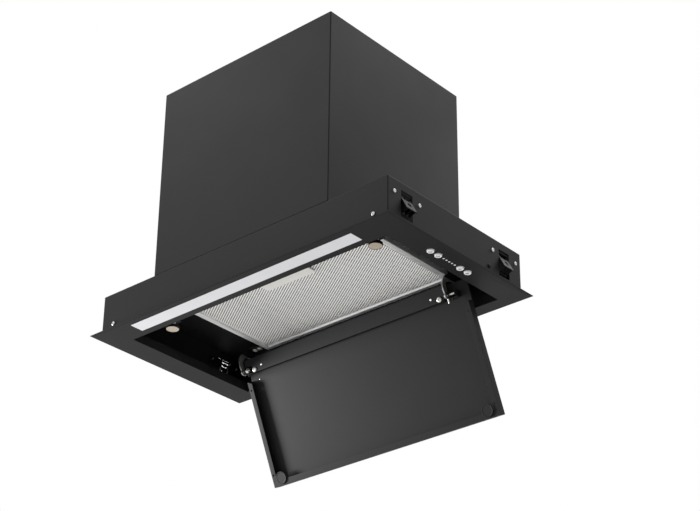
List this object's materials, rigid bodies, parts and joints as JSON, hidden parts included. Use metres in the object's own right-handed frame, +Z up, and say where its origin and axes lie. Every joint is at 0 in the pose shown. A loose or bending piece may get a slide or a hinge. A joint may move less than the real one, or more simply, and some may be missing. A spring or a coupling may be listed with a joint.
{
  "type": "built-in range hood",
  "caption": "Built-in canopy range hood with a drop-down perimeter suction panel, cassette grease filter, lamp strip, push buttons, sprung cabinet clips and blower.",
  "frame": {"origin": "centre of the cabinet cut-out, on the upper face of the flange", "axes": "+Z up towards the duct, +Y towards the wall (panel hinge side), -Y towards the cook (lamp side), +X towards the push buttons"},
  "size_m": [0.6, 0.3531, 0.6001],
  "materials": {
    "black_steel": "matt black powder coat",
    "zinc_steel": "zinc plated",
    "black_plastic": "matt moulded",
    "silver_cap": "satin metallised",
    "aluminium": "satin",
    "diffuser": "frosted",
    "lens": "clear",
    "board": "solder mask",
    "latch_paint": "satin beige",
    "capacitor_case": "matt"
  },
  "bodies": {
    "hood": {"flange_frame": "black_steel", "lower_housing": "black_steel", "upper_housing": "black_steel", "top_plate": "black_steel", "duct_spigot": "black_plastic", "flap_spindle": "zinc_steel", "led_diffuser": "diffuser", "led_profile": "aluminium", "led_board": "board", "control_box": "black_plastic", "control_board": "board", "button_switches": "black_plastic", "indicator_lenses": "lens", "filter_seat": "black_steel", "filter_hooks": "black_steel", "latch_keeper": "black_steel", "hinge_arm_left": "zinc_steel", "hinge_arm_right": "zinc_steel", "hinge_hangers": "black_steel", "hinge_screws": "zinc_steel", "catch_brackets": "black_steel", "catch_magnets": "zinc_steel", "clip_brackets": "black_steel", "clip_pins": "zinc_steel", "clip_springs": "zinc_steel", "side_screws": "zinc_steel", "front_screws": "zinc_steel", "blower_scroll": "aluminium", "motor": "zinc_steel", "motor_bracket": "black_steel", "electronics_box": "black_plastic", "capacitor": "capacitor_case", "cable_gland": "black_plastic", "tower_screws": "zinc_steel", "duct_screws": "zinc_steel"},
    "panel": {"panel_tray": "black_steel", "hinge_rail": "black_steel", "panel_strikes": "black_steel", "hinge_leaves": "zinc_steel", "pivot_pins": "zinc_steel", "rail_screws": "zinc_steel", "rail_rivets": "zinc_steel"},
    "filter": {"filter_frame": "aluminium", "filter_mesh": "aluminium"},
    "latch": {"filter_latch": "latch_paint"},
    "button_1": {"button_1": "silver_cap"},
    "button_2": {"button_2": "silver_cap"},
    "button_3": {"button_3": "silver_cap"},
    "button_4": {"button_4": "silver_cap"},
    "clip_front_right": {"clip_front_right": "black_plastic"},
    "clip_rear_right": {"clip_rear_right": "black_plastic"},
    "clip_front_left": {"clip_front_left": "black_plastic"},
    "clip_rear_left": {"clip_rear_left": "black_plastic"},
    "flap_front": {"flap_front": "black_plastic"},
    "flap_rear": {"flap_rear": "black_plastic"},
    "wheel": {"blower_wheel": "black_plastic", "blower_shaft": "zinc_steel"}
  },
  "joints": [
    {"name": "panel_swing", "type": "hinge", "parent": "hood", "child": "panel", "pos_m": [0, 0.099, 0.0108], "axis": [1, 0, 0], "range_deg": [-114, 0]},
    {"name": "filter_drop", "type": "hinge", "parent": "hood", "child": "filter", "pos_m": [0, 0.12, 0.052], "axis": [1, 0, 0], "range_deg": [0, 28]},
    {"name": "latch_pull", "type": "slide", "parent": "filter", "child": "latch", "axis": [0, 1, 0], "range_m": [0, 0.006], "stiffness_N_per_m": 300, "springref_m": -0.006},
    {"name": "button_1_press", "type": "slide", "parent": "hood", "child": "button_1", "axis": [0, 0, 1], "range_m": [0, 0.0012], "stiffness_N_per_m": 500, "springref_m": -0.002},
    {"name": "button_2_press", "type": "slide", "parent": "hood", "child": "button_2", "axis": [0, 0, 1], "range_m": [0, 0.0012], "stiffness_N_per_m": 500, "springref_m": -0.002},
    {"name": "button_3_press", "type": "slide", "parent": "hood", "child": "button_3", "axis": [0, 0, 1], "range_m": [0, 0.0012], "stiffness_N_per_m": 500, "springref_m": -0.002},
    {"name": "button_4_press", "type": "slide", "parent": "hood", "child": "button_4", "axis": [0, 0, 1], "range_m": [0, 0.0012], "stiffness_N_per_m": 500, "springref_m": -0.002},
    {"name": "clip_front_right_fold", "type": "hinge", "parent": "hood", "child": "clip_front_right", "pos_m": [0.284, -0.1113, 0.0445], "axis": [0, 1, 0], "range_deg": [0, 24], "stiffness_Nm_per_rad": 0.5, "springref_deg": -20.05},
    {"name": "clip_front_left_fold", "type": "hinge", "parent": "hood", "child": "clip_front_left", "pos_m": [-0.284, -0.1113, 0.0445], "axis": [0, -1, 0], "range_deg": [0, 24], "stiffness_Nm_per_rad": 0.5, "springref_deg": -20.05},
    {"name": "clip_rear_right_fold", "type": "hinge", "parent": "hood", "child": "clip_rear_right", "pos_m": [0.284, 0.1113, 0.0445], "axis": [0, 1, 0], "range_deg": [0, 24], "stiffness_Nm_per_rad": 0.5, "springref_deg": -20.05},
    {"name": "clip_rear_left_fold", "type": "hinge", "parent": "hood", "child": "clip_rear_left", "pos_m": [-0.284, 0.1113, 0.0445], "axis": [0, -1, 0], "range_deg": [0, 24], "stiffness_Nm_per_rad": 0.5, "springref_deg": -20.05},
    {"name": "flap_front_open", "type": "hinge", "parent": "hood", "child": "flap_front", "pos_m": [0, 0, 0.409], "axis": [-1, 0, 0], "range_deg": [0, 80]},
    {"name": "flap_rear_open", "type": "hinge", "parent": "hood", "child": "flap_rear", "pos_m": [0, 0, 0.409], "axis": [1, 0, 0], "range_deg": [0, 80]},
    {"name": "wheel_spin", "type": "hinge", "parent": "hood", "child": "wheel", "pos_m": [0, -0.052, 0.218], "axis": [1, 0, 0], "continuous": true}
  ]
}
